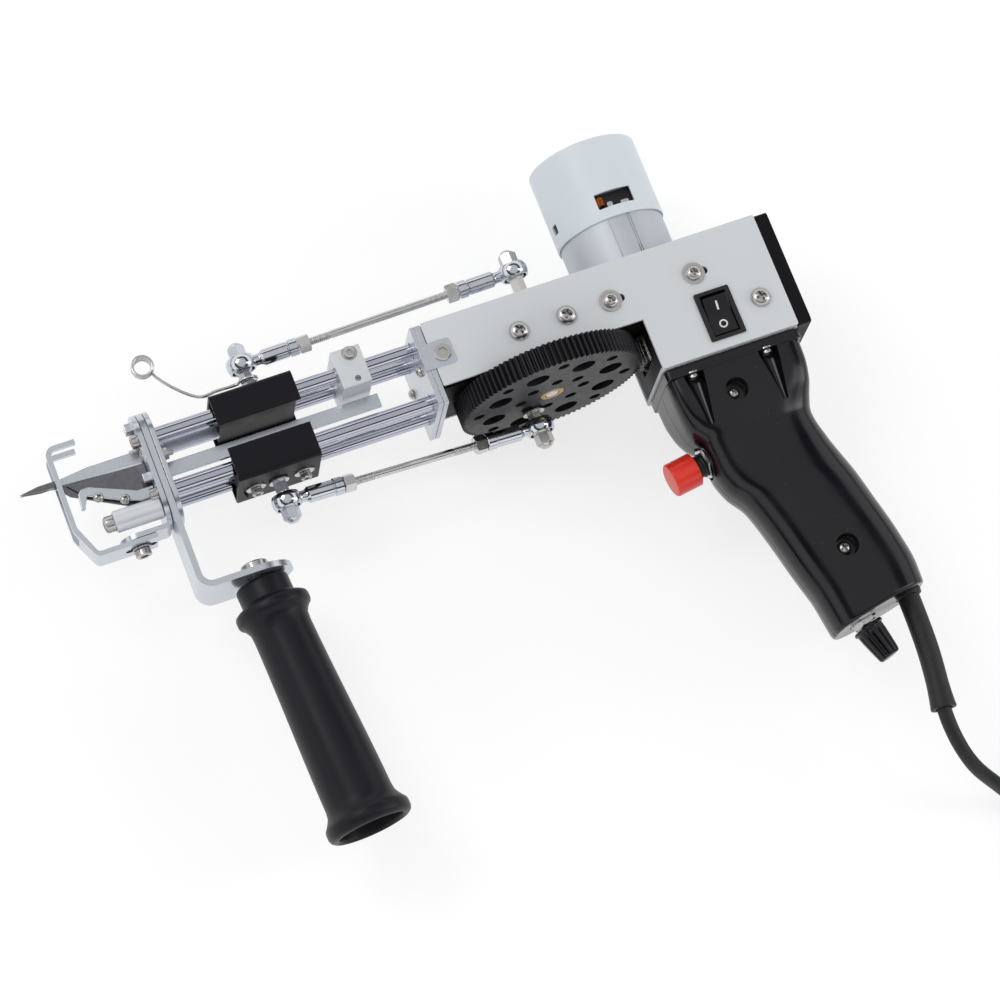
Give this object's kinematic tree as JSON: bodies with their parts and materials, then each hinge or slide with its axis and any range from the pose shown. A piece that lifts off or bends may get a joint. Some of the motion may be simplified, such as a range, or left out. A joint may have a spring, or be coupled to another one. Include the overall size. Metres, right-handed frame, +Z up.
{
  "type": "handheld tufting machine",
  "caption": "Handheld tufting machine: motor, big spur gear and two tie rods drive a needle carriage and a scissor carriage on parallel rails; pistol grip, side handle, corded.",
  "frame": {"origin": "middle of the bounding box without the cord, at the table it lies on", "axes": "+X from the needle to the rear cover, +Y from the grips to the motor's cap, +Z up from the table, square to the side plates"},
  "size_m": [0.4496, 0.3696, 0.0774],
  "materials": {
    "painted_plate": "satin",
    "dark_sheet": "satin",
    "anodised_black": "satin",
    "zinc_plated": "satin",
    "bright_steel": "polished",
    "stainless": "satin",
    "bare_aluminium": "satin",
    "brass": "satin",
    "black_nylon": "satin",
    "white_plastic": "satin",
    "gloss_black": "glossy",
    "handle_black": "satin",
    "red_plastic": "satin",
    "blade_steel": "satin",
    "black_rubber": "matte"
  },
  "bodies": {
    "machine_body": {"near_side_plate": "painted_plate", "far_side_plate": "painted_plate", "upper_frame": "zinc_plated", "gear_bearing_plate": "dark_sheet", "tail_front_wall": "dark_sheet", "rear_cover": "dark_sheet", "switch_bezel": "black_nylon", "motor_can": "zinc_plated", "motor_cap": "white_plastic", "upper_near_rail": "bright_steel", "upper_far_rail": "bright_steel", "lower_near_rail": "bright_steel", "lower_far_rail": "bright_steel", "rear_rail_plates": "zinc_plated", "centre_bar": "zinc_plated", "front_rail_plate": "zinc_plated", "handle_bracket": "zinc_plated", "handle_bolt": "stainless", "presser_bracket": "zinc_plated", "fixed_blade": "blade_steel", "blade_holder": "zinc_plated", "guide_post": "bare_aluminium", "side_handle": "handle_black", "grip_near_half": "gloss_black", "grip_far_half": "gloss_black", "trigger_switch": "black_nylon", "speed_control": "zinc_plated", "cord_sleeve": "black_rubber", "power_cord": "black_rubber", "cord_coil": "black_rubber", "plug_body": "black_rubber"},
    "crank_gear": {"main_gear": "black_nylon", "gear_bush": "brass", "upper_crankshaft": "zinc_plated"},
    "motor_rotor": {"motor_pinion": "stainless"},
    "lower_carriage": {"lower_carriage_cover": "anodised_black", "lower_slide_block": "anodised_black", "lower_carriage_stud": "zinc_plated", "scissor_bar": "zinc_plated", "moving_blade": "blade_steel"},
    "upper_carriage": {"upper_carriage_cover": "anodised_black", "upper_slide_block": "anodised_black", "upper_carriage_stud": "zinc_plated", "yarn_guide": "zinc_plated", "needle_bar": "zinc_plated", "needle_cheek": "zinc_plated", "needle": "stainless"},
    "lower_rod": {"lower_front_rod_end": "zinc_plated", "lower_rear_rod_end": "zinc_plated", "lower_tie_rod": "stainless", "lower_crank_bolt": "stainless"},
    "upper_rod": {"upper_front_rod_end": "zinc_plated", "upper_rear_rod_end": "zinc_plated", "upper_tie_rod": "stainless", "upper_crank_bolt": "stainless"},
    "depth_stop_block": {"depth_stop": "bare_aluminium"},
    "presser": {"presser_foot": "zinc_plated"},
    "power_rocker": {"rocker": "gloss_black"},
    "trigger": {"trigger_button": "red_plastic"},
    "speed_dial": {"speed_knob": "gloss_black"}
  },
  "joints": [
    {"name": "gear_spin", "type": "hinge", "parent": "machine_body", "child": "crank_gear", "pos_m": [0.05135, 0.04651, 0.03871], "axis": [0, 1, 0], "continuous": true},
    {"name": "pinion_spin", "type": "hinge", "parent": "machine_body", "child": "motor_rotor", "pos_m": [0.09907, 0.04651, 0.03871], "axis": [0, 1, 0], "continuous": true},
    {"name": "scissor_slide", "type": "slide", "parent": "machine_body", "child": "lower_carriage", "axis": [1, 0, 0], "range_m": [-0.01025, 0.02174]},
    {"name": "needle_slide", "type": "slide", "parent": "machine_body", "child": "upper_carriage", "axis": [1, 0, 0], "range_m": [-0.00864, 0.00335]},
    {"name": "scissor_rod_swing", "type": "hinge", "parent": "lower_carriage", "child": "lower_rod", "pos_m": [-0.06455, 0.03451, 0.03871], "axis": [0, 1, 0], "range_deg": [-15.9, 0.77]},
    {"name": "needle_rod_swing", "type": "hinge", "parent": "upper_carriage", "child": "upper_rod", "pos_m": [-0.06215, 0.09391, 0.03871], "axis": [0, 1, 0], "range_deg": [-0.27, 5.64]},
    {"name": "depth_stop_slide", "type": "slide", "parent": "machine_body", "child": "depth_stop_block", "axis": [1, 0, 0], "range_m": [-0.012, 0.018]},
    {"name": "presser_slide", "type": "slide", "parent": "machine_body", "child": "presser", "axis": [1, 0, 0], "range_m": [-0.004, 0.004]},
    {"name": "rocker_tilt", "type": "hinge", "parent": "machine_body", "child": "power_rocker", "pos_m": [0.12185, 0.04471, 0.06001], "axis": [1, 0, 0], "range_deg": [-22, 0]},
    {"name": "trigger_press", "type": "slide", "parent": "machine_body", "child": "trigger", "axis": [0.9903, 0.1392, 0], "range_m": [0, 0.0035], "stiffness_N_per_m": 300},
    {"name": "speed_turn", "type": "hinge", "parent": "machine_body", "child": "speed_dial", "pos_m": [0.13365, -0.08632, 0.03871], "axis": [0.2756, -0.9613, 0], "range_deg": [-140, 140]}
  ],
  "couplings": [
    {"joint": "pinion_spin", "follows": "gear_spin", "ratio": -4},
    {"joint": "needle_slide", "follows": "scissor_slide", "ratio": -0.325}
  ]
}
